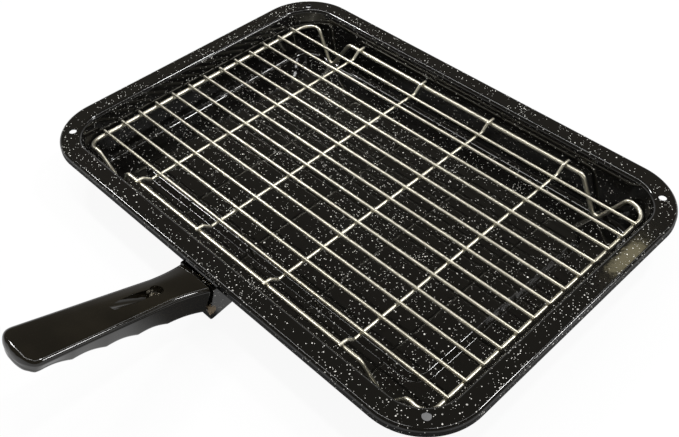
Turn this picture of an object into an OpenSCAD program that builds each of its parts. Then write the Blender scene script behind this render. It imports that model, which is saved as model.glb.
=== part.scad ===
// Broiler pan: a pressed and enamelled steel tray, a loose wire rack and a hook-on handle.
// Millimetres. The origin is on the standing plane under the middle of the tray.
// +X runs along the tray's long side, +Z points up, and the handle sticks out towards -Y.

/* [Tray] */
// Length of the tray over its lips, along X
tray_len = 396; // [380:1:440]
// Depth of the tray over its lips, along Y
tray_dep = 285; // [270:5:320]
// Height from the standing plane to the top of the rim
tray_h = 40; // [38:1:50]
// Thickness of the enamelled sheet
sheet_t = 1.0; // [0.8:0.1:1.4]
// Corner radius of the tray's outline
corner_r = 45; // [40:1:55]
// Width of the flat rim, from the lip to the wall
rim_w = 15; // [12:0.5:18]
// Height of the lip that is turned down round the rim
lip_h = 6.2; // [4:0.2:7.4]
// Run of the sloping wall, from the rim down to the floor
wall_run = 10.5; // [8:0.5:12]
// Bend radius between the rim and the lip, at mid sheet
lip_bend_r = 2.0; // [1.5:0.1:2.5]
// Bend radius between the rim and the wall, at mid sheet
rim_bend_r = 3.0; // [2:0.5:4]
// Bend radius between the wall and the floor, at mid sheet
floor_bend_r = 5.0; // [3:0.5:6]
// Height of the middle panel that is pressed up out of the floor
panel_rise = 2.6; // [1.6:0.2:4]
// Run of the sloping step round that panel
panel_run = 4.0; // [3:0.5:6]
// Width of the gutter between the foot of the wall and the panel's step
gutter_w = 25; // [20:1:34]
// Corner radius of the panel's step, at its foot
panel_r = 14; // [12:1:20]
// Bend radius of the panel's step, at mid sheet
panel_bend_r = 1.5; // [1:0.25:2]
// Diameter of the hole in each corner of the rim
rim_hole_d = 5.8; // [4:0.2:7]
// Distance from the corner's outer edge to the middle of its hole
rim_hole_in = 9.4; // [7:0.2:10]

/* [Rack] */
// Diameter of the wire of the rack's frame
frame_d = 3.4; // [3:0.1:4]
// Diameter of the straight wires and the cross wires
wire_d = 2.4; // [2:0.1:3]
// Gap between each side rail and the tray's wall
rack_side_gap = 6.0; // [4.5:0.1:8]
// Gap between each end rail and the tray's wall
rack_end_gap = 3.1; // [2.6:0.1:4]
// Height of the middle of the straight wires above the standing plane
grid_z = 28.6; // [26:0.2:31]
// Height of the side rails above the end rails
side_rise = 3.2; // [2:0.1:4]
// Number of straight wires along X
long_count = 13; // [11:1:13]
// Distance between two straight wires
long_pitch = 16.5; // [15:0.1:16.6]
// Length of a straight wire that stands out past the end rail
long_tip = 1.6; // [0.8:0.2:2.4]
// Number of cross wires along Y
cross_count = 4; // [3:1:4]
// Distance between two cross wires
cross_pitch = 69.9; // [50:0.1:71]
// Length of a cross wire that stands out past the side rail
cross_tip = 1.4; // [0.6:0.2:2]
// Length of the sloping jog at each end of a cross wire
jog_run = 6.5; // [5.5:0.5:8]
// Length of a cross wire's flat end inside the side rail
jog_flat = 3.6; // [3:0.2:5]
// Gap between the rack's bent corners and the tray's wall
rack_corner_gap = 0.5; // [0.4:0.1:1]
// Length between the frame's corner bend and the top of the leg's outer limb, along X
shoulder_run = 4.7; // [4:0.1:7]
// Distance from there to the foot of the leg, along X
foot_out = 19; // [15:0.5:21]
// Distance from the foot to the end of the straight side rail, along X
foot_in = 19; // [16:0.5:22]
// Distance of each foot from the bend at the edge of the tray's floor
foot_gap = 0.4; // [0.2:0.1:2]
// Bend radius of the frame where the rail turns down into the leg
rail_bend_r = 6; // [4.5:0.5:8]
// Bend radius of the frame at the foot
foot_bend_r = 4.5; // [3.5:0.5:6]
// Bend radius of the frame at the top of the leg's outer limb
shoulder_bend_r = 4.5; // [3.5:0.5:5]
// Bend radius of a cross wire's jog
jog_bend_r = 2.6; // [2:0.1:3.2]

/* [Handle] */
// Length of the grip along its top
grip_len = 129; // [115:1:145]
// Angle by which the handle rises away from the tray
handle_tilt = 17.4; // [12:0.2:20]
// Distance that the handle's top starts outside the tray's lip
handle_out = 2.6; // [2.4:0.2:6]
// Height of the handle's top at its tray end, above the lip's lower edge
handle_rise = 1.75; // [0:0.25:2.5]
// Width of the grip at its waist
waist_w = 26.8; // [24:0.2:29]
// Width of the grip near its free end
butt_w = 36; // [33:1:40]
// Width of the grip at its tray end
root_w = 33; // [30:0.2:36]
// Depth of the grip from its tray end to the first finger ridge
root_deep = 22.4; // [20:0.4:24]
// Depth of the grip at its free end
butt_deep = 11.5; // [9:0.5:12]
// Length of the rounded free end, seen from above
butt_round = 11; // [10:1:18]
// Distance from the tray end to the first finger ridge
ridge_start = 28; // [25:0.5:30]
// Distance between two finger ridges
ridge_pitch = 23.5; // [21:0.5:24.5]
// Depth of the scoops between the finger ridges
scoop_deep = 1.8; // [1:0.1:2.4]
// Radius of the grip's long upper edges
grip_edge_r = 3.6; // [2.5:0.2:4.4]
// Amount by which each side leans in towards the underside
grip_draft = 1.6; // [0.8:0.2:2.4]

/* [Handle fixing] */
// Thickness of the steel tongue
tongue_t = 1.8; // [1.4:0.1:2.2]
// Width of the tongue
tongue_w = 18; // [14:1:19]
// Depth of the tongue's upper face below the top of the grip
tongue_deep = 9.6; // [9.2:0.2:11]
// Length of the tongue inside the grip
tongue_in = 44; // [40:1:56]
// Height of the hook behind the bracket's front
hook_h = 8.5; // [7:0.5:9]
// Gap between the bracket's front and the hook behind it
hook_gap = 3.8; // [3.2:0.2:5]
// Bend radius of the hook, at mid sheet
hook_bend_r = 2.4; // [2:0.2:3]
// Width of the bracket over its cheeks
bracket_w = 35; // [33:1:40]
// Distance from the level of the grip's top down to the bracket's lower edge
bracket_h = 27; // [24:0.5:28]
// Rise of the bracket's bottom towards the tray, in degrees
bracket_rise = 9; // [7:1:18]
// Bend radius at the bottom of the bracket's front, at mid sheet
bracket_bend_r = 1.6; // [1.2:0.2:2.4]
// Width of the flanges that are welded to the tray's wall
flange_w = 9; // [7:1:12]
// Distance of the screw from the grip's tray end
screw_s = 31; // [29:1:34]
// Diameter of the screw's head
screw_head_d = 8.2; // [7.4:0.2:8.8]
// Height of the screw's head
screw_head_h = 2.6; // [2.2:0.2:3.2]
// Diameter of the screw's shank
screw_d = 4.8; // [4:0.2:5.4]
// Length of the screw's shank
screw_len = 9.5; // [8:0.5:10.5]
// Depth of the recess over the screw's head
recess_deep = 7.2; // [6.6:0.2:7.8]
// Diameter of the channel that lets a driver in
channel_d = 8; // [7:0.2:8.6]
// Depth of that channel at the screw
channel_deep = 4; // [3:0.2:5]
// Angle of that channel to the top of the grip
channel_tilt = 14; // [11:1:18]

/* [Clearances] */
// Gap left between parts that are welded or stand on each other
seat_gap = 0.05; // [0.02:0.01:0.15]
// Gap between the bracket's upper edge and the lip
bracket_gap = 0.5; // [0.4:0.1:1.5]
// Gap between the grip's tray end and the bracket
end_gap = 1.2; // [0.8:0.1:2]
// Gap on each side of the tongue where it passes through something
slot_gap = 0.2; // [0.1:0.05:0.3]
// Gap on each side of the screw's head in its recess
head_gap = 0.3; // [0.2:0.05:0.4]

/* [Hidden] */
$fn = 72;

enamel = [0.06, 0.06, 0.065];
chrome = [0.82, 0.81, 0.78];
phenolic = [0.09, 0.08, 0.07];
plated = [0.72, 0.66, 0.52];

// Tray sections are drawn from the middle of a corner outwards, at mid sheet. Past its bends each
// runs on flat by run_on, and laps the flat plates by plate_lap.
half_t = sheet_t / 2;
run_on = 3;
plate_lap = 1;
corner_x = tray_len / 2 - corner_r;
corner_y = tray_dep / 2 - corner_r;
rim_in = rim_w + half_t;
floor_in = rim_in + wall_run;
wall_slope = atan(wall_run / (tray_h - sheet_t));
panel_in = floor_in + gutter_w;
panel_x = tray_len / 2 - panel_in - panel_r;
panel_y = tray_dep / 2 - panel_in - panel_r;
panel_land = panel_run + run_on;
rim_hole_x = corner_x + (corner_r - rim_hole_in) * cos(45);
rim_hole_y = corner_y + (corner_r - rim_hole_in) * sin(45);
bend_steps = 6;

// Lengths by which straights run into bends, and by which a wire is thicker where it is bent
lap = 0.3;
swell = 0.05;

// Heights of the rack's wires
cross_z = grid_z - wire_d - seat_gap;
end_rail_z = grid_z - (frame_d + wire_d) / 2 - seat_gap;
side_rail_z = end_rail_z + side_rise;
cross_end_z = side_rail_z + (frame_d + wire_d) / 2 + seat_gap;
foot_z = sheet_t + seat_gap + frame_d / 2 + swell;
shoulder_z = grid_z;

// Plan of the rack, measured in from the tray's wall and floor
rack_x = tray_len / 2 - wall_in(end_rail_z) - rack_end_gap - frame_d / 2;
rack_y = tray_dep / 2 - wall_in(side_rail_z) - rack_side_gap - frame_d / 2;
rack_corner_r = corner_fit(
    corner_r - wall_in(end_rail_z),
    rack_end_gap,
    rack_side_gap + wall_in(side_rail_z) - wall_in(end_rail_z),
    rack_corner_gap
);
shoulder_x = rack_x - rack_corner_r - shoulder_run;
foot_x = shoulder_x - foot_out;
rail_half = foot_x - foot_in;
floor_reach = floor_bend_r * tan((90 - wall_slope) / 2);
foot_y = tray_dep / 2 - floor_in - floor_reach - foot_gap;
foot_low = [foot_x, foot_y, foot_z];

// Where the handle starts: the top of its tray end
handle_y = tray_dep / 2 + handle_out;
handle_z = tray_h - lip_h + handle_rise;
tongue_mid = tongue_deep + tongue_t / 2;
front_s = end_gap + half_t;
hook_s = end_gap + sheet_t + hook_gap + tongue_t / 2;
taper = (root_deep - butt_deep) / (grip_len - butt_round / 2 - ridge_start);

// Shape of the grip
butt_s = grip_len - butt_round / 2;
round_start = grip_len - butt_round;
end_power = 2.4;
root_edge_r = 1.2;
butt_edge_r = 3.4;
crown = 0.7;
least_half = 0.6;
first_scoop = 0.7;
last_scoop = 0.8;
edge_share = 0.42;
side_share = 0.75;
arc_steps = 4;
scoop_steps = 8;
lead_steps = 6;
root_steps = 3;
round_steps = 10;
cut_over = 1;

// Cross recess in the screw's head
drive_len = 4.8;
drive_w = 1;
drive_deep = 1.3;

function wire_name(stem, i) = str(stem, i < 10 ? "0" : "", i);

// Plane geometry
function unit(v) = v / norm(v);
function left(v) = [-v[1], v[0]];
function turn(v, a) = [v[0] * cos(a) - v[1] * sin(a), v[0] * sin(a) + v[1] * cos(a)];
function angle_between(u, w) = acos(max(-1, min(1, u * w)));
function reversed(list) = [for (i = [len(list) - 1 : -1 : 0]) list[i]];

// The round stretch at b of a sheet bent from a to c with radius r, seen `off` to the left of mid sheet
function bend(a, b, c, r, off) =
    let (
        u = unit(b - a),
        w = unit(c - b),
        side = sign(u[0] * w[1] - u[1] * w[0]),
        ang = angle_between(u, w),
        centre = b - u * r * tan(ang / 2) + left(u) * side * r
    )
    [for (k = [0 : bend_steps]) centre - turn(left(u), side * ang * k / bend_steps) * side * (r - side * off)];

// One edge of a bent sheet, `off` to the left of the line through pts
function sheet_edge(pts, radii, off) =
    let (last = len(pts) - 1)
    concat(
        [pts[0] + left(unit(pts[1] - pts[0])) * off],
        [for (i = [1 : last - 1], p = bend(pts[i - 1], pts[i], pts[i + 1], radii[i - 1], off)) p],
        [pts[last] + left(unit(pts[last] - pts[last - 1])) * off]
    );

// Section of a bent sheet of thickness t
module sheet_section(pts, radii, t) {
    polygon(concat(sheet_edge(pts, radii, t / 2), reversed(sheet_edge(pts, radii, -t / 2))));
}

// Rounded rectangle whose corner circles stand at +-cx, +-cy
module rounded_rect(cx, cy, r) {
    square([2 * (cx + r), 2 * cy], center = true);
    square([2 * cx, 2 * (cy + r)], center = true);
    for (sx = [-1, 1], sy = [-1, 1])
        translate([sx * cx, sy * cy])
            circle(r);
}

// Sweeps a section round a rounded rectangle with its corner centres at +-cx, +-cy
module swept_round(cx, cy) {
    for (q = [0 : 3]) {
        a = q % 2 == 0 ? cx : cy;
        b = q % 2 == 0 ? cy : cx;
        rotate([0, 0, 90 * q])
            translate([a, b, 0]) {
                rotate_extrude(angle = 90)
                    children();
                rotate([90, 0, 0])
                    linear_extrude(2 * b)
                        children();
            }
    }
}

// Lip, rim, wall and the outer part of the floor
module tray_side_section() {
    sheet_section(
        [
            [corner_r - half_t, tray_h - lip_h],
            [corner_r - half_t, tray_h - half_t],
            [corner_r - rim_in, tray_h - half_t],
            [corner_r - floor_in, half_t],
            [corner_r - floor_in - floor_bend_r - run_on, half_t]
        ],
        [lip_bend_r, rim_bend_r, floor_bend_r],
        sheet_t
    );
}

// The step up from the gutter to the panel
module panel_step_section() {
    sheet_section(
        [
            [panel_r + run_on, half_t],
            [panel_r, half_t],
            [panel_r - panel_run, half_t + panel_rise],
            [panel_r - panel_land, half_t + panel_rise]
        ],
        [panel_bend_r, panel_bend_r],
        sheet_t
    );
}

// The enamelled tray, pressed from one sheet
module tray() {
    side_in = floor_in + floor_bend_r + run_on - plate_lap;
    color(enamel)
        difference() {
            union() {
                swept_round(corner_x, corner_y)
                    tray_side_section();
                linear_extrude(sheet_t)
                    difference() {
                        rounded_rect(corner_x, corner_y, corner_r - side_in);
                        rounded_rect(panel_x, panel_y, panel_r + run_on - plate_lap);
                    }
                swept_round(panel_x, panel_y)
                    panel_step_section();
                translate([0, 0, panel_rise])
                    linear_extrude(sheet_t)
                        rounded_rect(panel_x, panel_y, panel_r - panel_land + plate_lap);
            }
            for (sx = [-1, 1], sy = [-1, 1])
                translate([sx * rim_hole_x, sy * rim_hole_y, tray_h - lip_h])
                    cylinder(h = 2 * lip_h, d = rim_hole_d);
        }
}

// Distance from the tray's outline to its wall at height z: to mid sheet, and to the inner face
function wall_mid(z) = rim_in + wall_run * (tray_h - half_t - z) / (tray_h - sheet_t);
function wall_in(z) = wall_mid(z) + half_t / cos(wall_slope);

// The outer face of the wall on the handle's side, moved `off` outwards
function wall_y(z, off) = -(tray_dep / 2 - wall_mid(z)) - (half_t + off) / cos(wall_slope);

// Handle coordinates: s runs outwards along the grip's top, n is square to it, and [y, z] comes back
function from_handle(s, n) = [
    -handle_y - s * cos(handle_tilt) + n * sin(handle_tilt),
    handle_z + s * sin(handle_tilt) + n * cos(handle_tilt)
];

module at_handle() {
    translate([0, -handle_y, handle_z])
        rotate([handle_tilt, 0, 180])
            children();
}

// Extrudes a profile drawn as [y, z] to width w across the middle plane
module across(w, mid = 0) {
    translate([mid - w / 2, 0, 0])
        rotate([90, 0, 90])
            linear_extrude(w)
                children();
}

// Where the bracket's sloping bottom meets the wall
function bracket_tail() =
    let (
        low = from_handle(-front_s, -bracket_h),
        rise = tan(bracket_rise),
        off = seat_gap + half_t * abs(sin(wall_slope - bracket_rise)),
        run = (wall_y(low[1], off) - low[0]) / (1 + rise * tan(wall_slope))
    )
    [low[0] + run, low[1] + run * rise];

// The enamelled bracket that carries the handle, folded from sheet and welded to the tray's wall
module handle_bracket() {
    top_n = (front_s * sin(handle_tilt) - handle_rise - bracket_gap) / cos(handle_tilt);
    top = from_handle(-front_s, top_n);
    low = from_handle(-front_s, -bracket_h);
    tail = bracket_tail();
    fold = sheet_edge([top, low, tail], [bracket_bend_r], -half_t);
    head = [wall_y(top[1], seat_gap), top[1]];
    cheek_mid = (bracket_w - sheet_t) / 2;
    flange_mid = (bracket_w + flange_w) / 2 - sheet_t;
    color(enamel)
        difference() {
            union() {
                across(bracket_w - sheet_t)
                    sheet_section([top, low, tail], [bracket_bend_r], sheet_t);
                for (side = [-1, 1]) {
                    across(sheet_t, side * cheek_mid)
                        polygon(concat(fold, [head]));
                    across(flange_w, side * flange_mid)
                        polygon([
                            head,
                            [wall_y(top[1], seat_gap + sheet_t), top[1]],
                            [wall_y(tail[1], seat_gap + sheet_t), tail[1]],
                            tail
                        ]);
                }
            }
            at_handle()
                translate([-tongue_w / 2 - slot_gap, -end_gap - 2 * sheet_t, -tongue_deep - tongue_t - slot_gap])
                    cube([tongue_w + 2 * slot_gap, 4 * sheet_t, tongue_t + 2 * slot_gap]);
        }
}

// A wire of diameter d along pts in space, bent with radius radii[i] at pts[i]
module bent_wire(pts, radii, d, closed = false) {
    last = len(pts) - 1;
    count = closed ? last : last - 1;
    for (i = [0 : count]) {
        a = pts[i];
        b = pts[(i + 1) % len(pts)];
        u = unit(b - a);
        start = a + u * (closed || i > 0 ? bend_reach(pts, radii, i) - lap : 0);
        end = b - u * (closed || i < count ? bend_reach(pts, radii, (i + 1) % len(pts)) - lap : 0);
        straight_wire(start, end, d);
        if (closed || i < count)
            wire_bend(a, b, pts[(i + 2) % len(pts)], radii[(i + 1) % len(pts)], d + 2 * swell);
    }
}

// Length that the bend at pts[i] takes from each of its two straights
function bend_reach(pts, radii, i) =
    let (
        n = len(pts),
        u = unit(pts[i] - pts[(i + n - 1) % n]),
        w = unit(pts[(i + 1) % n] - pts[i])
    )
    radii[i] * tan(angle_between(u, w) / 2);

module straight_wire(a, b, d) {
    run = b - a;
    len_ab = norm(run);
    translate(a)
        rotate([0, acos(run[2] / len_ab), atan2(run[1], run[0])])
            cylinder(h = len_ab, d = d);
}

// The round stretch at b of a wire that comes from a and goes on to c
module wire_bend(a, b, c, r, d) {
    u = unit(b - a);
    w = unit(c - b);
    ang = angle_between(u, w);
    inward = unit(w - u * (u * w));
    centre = b - u * r * tan(ang / 2) + inward * r;
    ex = -inward;
    ez = cross(ex, u);
    multmatrix([
        [ex[0], u[0], ez[0], centre[0]],
        [ex[1], u[1], ez[1], centre[1]],
        [ex[2], u[2], ez[2], centre[2]],
        [0, 0, 0, 1]
    ])
        rotate_extrude(angle = ang)
            translate([r, 0])
                circle(d = d);
}

// Radius of a rack corner that leaves `gap` to the tray's corner of radius r, where the rails leave gx and gy
function corner_fit(r, gx, gy, gap) =
    let (
        spare = gx + gy - gap,
        inset = spare + sqrt(spare * spare - gx * gx - gy * gy + gap * gap)
    )
    r - frame_d / 2 - inset;

// Lowest point of the bend at b of a wire that comes from a and goes on to c
function bend_low(a, b, c, r) =
    let (
        u = unit(b - a),
        w = unit(c - b),
        inward = unit(w - u * (u * w)),
        centre = b - u * r * tan(angle_between(u, w) / 2) + inward * r,
        axle = cross(u, inward)
    )
    centre - r * unit([0, 0, 1] - axle * axle[2]);

// Vertex of a leg's foot, moved n times so that the lowest point of its bend comes to foot_low
function foot_vertex(v, n) =
    n == 0 ? v : foot_vertex(v + foot_low - bend_low(rail_end, v, shoulder, foot_bend_r), n - 1);

// A corner of the rack's frame, from the side rail down to the foot and up to the end rail
rail_end = [rail_half, rack_y, side_rail_z];
shoulder = [shoulder_x, rack_y, shoulder_z];
foot = foot_vertex(foot_low, 5);
function frame_corner(sx, sy) =
    [for (p = [rail_end, foot, shoulder, [rack_x, rack_y, end_rail_z]]) [sx * p[0], sy * p[1], p[2]]];

// The rack's frame: one wire bent into rails, corners and four legs, and joined into a ring
module rack_frame() {
    bends = [rail_bend_r, foot_bend_r, shoulder_bend_r, rack_corner_r];
    color(chrome)
        bent_wire(
            concat(
                frame_corner(1, -1),
                reversed(frame_corner(1, 1)),
                frame_corner(-1, 1),
                reversed(frame_corner(-1, -1))
            ),
            concat(bends, reversed(bends), bends, reversed(bends)),
            frame_d,
            closed = true
        );
}

// Straight wire number i, lying on the end rails
module long_wire(i) {
    y = (i - (long_count + 1) / 2) * long_pitch;
    tip = rack_x + frame_d / 2 + long_tip;
    color(chrome)
        straight_wire([-tip, y, grid_z], [tip, y, grid_z], wire_d);
}

// Cross wire number i, under the straight wires and jogged up onto the side rails
module cross_wire(i) {
    x = (i - (cross_count + 1) / 2) * cross_pitch;
    tip = rack_y + frame_d / 2 + cross_tip;
    flat_y = rack_y - jog_flat;
    low_y = flat_y - jog_run;
    color(chrome)
        bent_wire(
            [
                [x, -tip, cross_end_z],
                [x, -flat_y, cross_end_z],
                [x, -low_y, cross_z],
                [x, low_y, cross_z],
                [x, flat_y, cross_end_z],
                [x, tip, cross_end_z]
            ],
            [0, jog_bend_r, jog_bend_r, jog_bend_r, jog_bend_r, 0],
            wire_d
        );
}

// The steel tongue: it is held in the grip, passes through the bracket's front and hooks up behind it
module handle_tongue() {
    color(plated)
        at_handle()
            difference() {
                translate([tongue_w / 2, 0, 0])
                    rotate([90, 0, -90])
                        linear_extrude(tongue_w)
                            sheet_section(
                                [[-tongue_in, -tongue_mid], [hook_s, -tongue_mid], [hook_s, hook_h - tongue_mid]],
                                [hook_bend_r],
                                tongue_t
                            );
                translate([0, screw_s, -tongue_mid - tongue_t])
                    cylinder(h = 2 * tongue_t, d = screw_d + 2 * seat_gap);
            }
}

// Half the width of the grip at distance s: a flared root, a waist and a rounded free end
function grip_taper(s) =
    s < ridge_start
        ? waist_w / 2 + (root_w - waist_w) / 2 * pow(1 - s / ridge_start, 2)
        : waist_w / 2 + (butt_w - waist_w) / 2 * (s - ridge_start) / (butt_s - ridge_start);
function grip_half(s) =
    s <= round_start
        ? grip_taper(s)
        : min(grip_taper(s), butt_w / 2)
            * pow(1 - pow((s - round_start) / butt_round, end_power), 1 / end_power);

// Depth of the underside at distance s, without and with the finger scoops
function ridge_at(s) = (s - ridge_start) / ridge_pitch;
function grip_plain_deep(s) = root_deep - taper * max(0, s - ridge_start);
function grip_scoop(s) =
    s < ridge_start
        ? first_scoop * sin(180 * s / ridge_start)
        : scoop_deep * abs(sin(180 * ridge_at(s)));
function grip_deep(s) = max(butt_deep - last_scoop, grip_plain_deep(s) - grip_scoop(s));

// How far the top and the underside are drawn in at the ends, by the rounding of the edges there
function edge_drop(x, r) = x >= r ? 0 : r - sqrt(r * r - (r - x) * (r - x));
function grip_inset(s) = edge_drop(s, root_edge_r) + edge_drop(grip_len - s, butt_edge_r);

// One quarter of a cross-section's outline, as an arc from angle a0 through 90 degrees
function section_arc(cu, cn, r, a0) =
    [for (k = [0 : arc_steps]) let (a = a0 + 90 * k / arc_steps) [cu + r * cos(a), cn + r * sin(a)]];

// Outline of the grip across its length: u is sideways and n is up from the top face
function grip_section(s) =
    let (
        inset = grip_inset(s),
        half = max(least_half, grip_half(s) - edge_drop(s, root_edge_r)),
        upper = -inset,
        lower = -grip_deep(s) + inset,
        r = min(grip_edge_r, side_share * half, edge_share * (upper - lower)),
        low_half = max(r, half - grip_draft),
        arch = [(half - r) / 2, upper - crown / 4]
    )
    concat(
        [[0, upper], [-arch[0], arch[1]]],
        section_arc(-half + r, upper - crown - r, r, 90),
        section_arc(-low_half + r, lower + r, r, 180),
        section_arc(low_half - r, lower + r, r, 270),
        section_arc(half - r, upper - crown - r, r, 0),
        [arch]
    );

// Stations along the grip: close together where it is rounded
function grip_stations() = concat(
    [for (k = [0 : root_steps]) root_edge_r * (1 - cos(90 * k / root_steps))],
    [for (k = [1 : lead_steps - 1]) root_edge_r + (ridge_start - root_edge_r) * k / lead_steps],
    [for (k = [0 : floor((round_start - ridge_start) / ridge_pitch * scoop_steps)])
        ridge_start + ridge_pitch * k / scoop_steps],
    [for (k = [1 : round_steps]) round_start + butt_round * sin(90 * k / round_steps)]
);

// A closed solid through rings of points, given as [s, outline] in order
module lofted(stations, rings) {
    m = len(rings[0]);
    last = len(rings) - 1;
    polyhedron(
        points = [for (i = [0 : last], p = rings[i]) [p[0], stations[i], p[1]]],
        faces = concat(
            [[for (j = [0 : m - 1]) j]],
            [[for (j = [m - 1 : -1 : 0]) last * m + j]],
            [for (i = [0 : last - 1], j = [0 : m - 1]) [i * m + j, (i + 1) * m + j, i * m + (j + 1) % m]],
            [for (i = [0 : last - 1], j = [0 : m - 1])
                [(i + 1) * m + j, (i + 1) * m + (j + 1) % m, i * m + (j + 1) % m]]
        ),
        convexity = 6
    );
}

// The moulded grip, with a slot for the tongue and a recess and channel for the screw
module handle_grip() {
    stations = grip_stations();
    slot_w = tongue_w + 2 * slot_gap;
    slot_h = tongue_t + 2 * slot_gap;
    color(phenolic)
        at_handle()
            difference() {
                lofted(stations, [for (s = stations) grip_section(s)]);
                translate([-slot_w / 2, -cut_over, -tongue_mid - slot_h / 2])
                    cube([slot_w, tongue_in + slot_gap + cut_over, slot_h]);
                translate([0, screw_s, -recess_deep])
                    cylinder(h = recess_deep + cut_over, d = screw_head_d + 2 * head_gap);
                translate([0, screw_s, -recess_deep - screw_len - cut_over])
                    cylinder(h = screw_len + 2 * cut_over, d = screw_d + 2 * head_gap);
                driver_channel();
            }
}

// The channel that lets a driver in at a slant: it is deepest at the screw and fades out along the top
module driver_channel() {
    translate([0, screw_s, -channel_d / 2 / cos(channel_tilt) + channel_d / 2 - channel_deep])
        rotate([-90 + channel_tilt, 0, 0])
            cylinder(h = (channel_deep + channel_d) / sin(channel_tilt), d = channel_d);
}

// The screw that holds the grip on the tongue
module handle_screw() {
    head_z = -recess_deep + seat_gap;
    color(plated)
        at_handle()
            translate([0, screw_s, head_z])
                difference() {
                    union() {
                        cylinder(h = screw_head_h, d = screw_head_d);
                        translate([0, 0, -screw_len])
                            cylinder(h = screw_len, d = screw_d);
                    }
                    for (a = [0, 90])
                        rotate([0, 0, a])
                            translate([-drive_len / 2, -drive_w / 2, screw_head_h - drive_deep])
                                cube([drive_len, drive_w, drive_deep + cut_over]);
                }
}

tray();
handle_bracket();
rack_frame();
for (i = [1 : long_count])
    long_wire(i);
for (i = [1 : cross_count])
    cross_wire(i);
handle_tongue();
handle_grip();
handle_screw();
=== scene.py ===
"""Broiler pan: the finished looks of the enamelled tray, the wire rack and the hook-on handle.

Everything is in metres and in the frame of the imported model: +X along the tray's long side, +Z up,
and the handle points towards -Y.
"""

import math

import bmesh
import bpy
from bpy.props import FloatProperty, FloatVectorProperty, IntProperty, PointerProperty
from mathutils import Matrix, Vector


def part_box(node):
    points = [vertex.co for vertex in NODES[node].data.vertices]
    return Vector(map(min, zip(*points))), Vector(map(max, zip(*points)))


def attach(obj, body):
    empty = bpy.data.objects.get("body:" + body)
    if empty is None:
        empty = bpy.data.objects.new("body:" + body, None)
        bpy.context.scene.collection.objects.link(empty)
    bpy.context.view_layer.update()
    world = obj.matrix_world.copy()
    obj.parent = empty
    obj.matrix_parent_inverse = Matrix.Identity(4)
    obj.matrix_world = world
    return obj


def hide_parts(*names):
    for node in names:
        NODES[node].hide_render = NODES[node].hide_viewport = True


bl_info = {
    "name": "Broiler pan",
    "version": (1, 0, 0),
    "blender": (4, 5, 0),
    "location": "3D View > Sidebar > Broiler pan",
    "description": "Builds an enamelled broiler pan with its wire rack and handle",
    "category": "Object",
}

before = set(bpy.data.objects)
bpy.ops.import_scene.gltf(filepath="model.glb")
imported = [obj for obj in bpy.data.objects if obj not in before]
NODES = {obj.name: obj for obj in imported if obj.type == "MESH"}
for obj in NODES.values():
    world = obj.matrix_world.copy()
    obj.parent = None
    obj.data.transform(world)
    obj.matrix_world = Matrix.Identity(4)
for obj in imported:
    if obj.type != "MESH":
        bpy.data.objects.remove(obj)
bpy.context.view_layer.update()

MM = 0.001
SAME_POINT = 0.001 * MM
LONG_WIRES = sorted(n for n in NODES if n.startswith("long_wire_"))
CROSS_WIRES = sorted(n for n in NODES if n.startswith("cross_wire_"))


def millimetres(name, description, default):
    """A length property that is written in millimetres and kept in metres."""
    return FloatProperty(
        name=name,
        description=description,
        default=default * MM,
        min=0,
        precision=4,
        unit="LENGTH",
    )


def colour(name, description, default):
    """A colour property in linear light."""
    return FloatVectorProperty(
        name=name,
        description=description,
        default=default,
        size=3,
        min=0,
        max=1,
        subtype="COLOR",
    )


def angle(name, description, default):
    """An angle property that is written in degrees."""
    return FloatProperty(
        name=name, description=description, default=math.radians(default), unit="ROTATION"
    )


class TraySizes(bpy.types.PropertyGroup):
    """Sizes of the pressed tray."""

    length: millimetres("Length", "Length over the lips, along X", 396)
    depth: millimetres("Depth", "Depth over the lips, along Y", 285)
    height: millimetres("Height", "Height of the top of the rim", 40)
    sheet: millimetres("Sheet", "Thickness of the enamelled sheet", 1)
    corner: millimetres("Corner radius", "Corner radius of the outline", 45)
    rim: millimetres("Rim width", "Width of the flat rim, from lip to wall", 15)
    lip: millimetres("Lip height", "Height of the turned-down lip", 6.2)
    wall_run: millimetres("Wall run", "Run of the sloping wall", 10.5)
    lip_bend: millimetres("Lip bend", "Bend radius between rim and lip", 2)
    rim_bend: millimetres("Rim bend", "Bend radius between rim and wall", 3)
    floor_bend: millimetres("Floor bend", "Bend radius between wall and floor", 5)
    panel_rise: millimetres("Panel rise", "Height of the pressed-up middle panel", 2.6)
    panel_run: millimetres("Panel step", "Run of the step round the panel", 4)
    gutter: millimetres("Gutter width", "Width of the gutter round the panel", 25)
    panel_corner: millimetres("Panel corner", "Corner radius of the panel's step", 14)
    panel_bend: millimetres("Panel bend", "Bend radius of the panel's step", 1.5)
    hole: millimetres("Rim hole", "Diameter of the hole in each corner", 5.8)
    hole_in: millimetres("Hole inset", "Distance from a corner's edge to its hole", 9.4)
    edge: millimetres("Edge rounding", "Rounding of the enamel over cut edges", 0.3)


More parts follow.
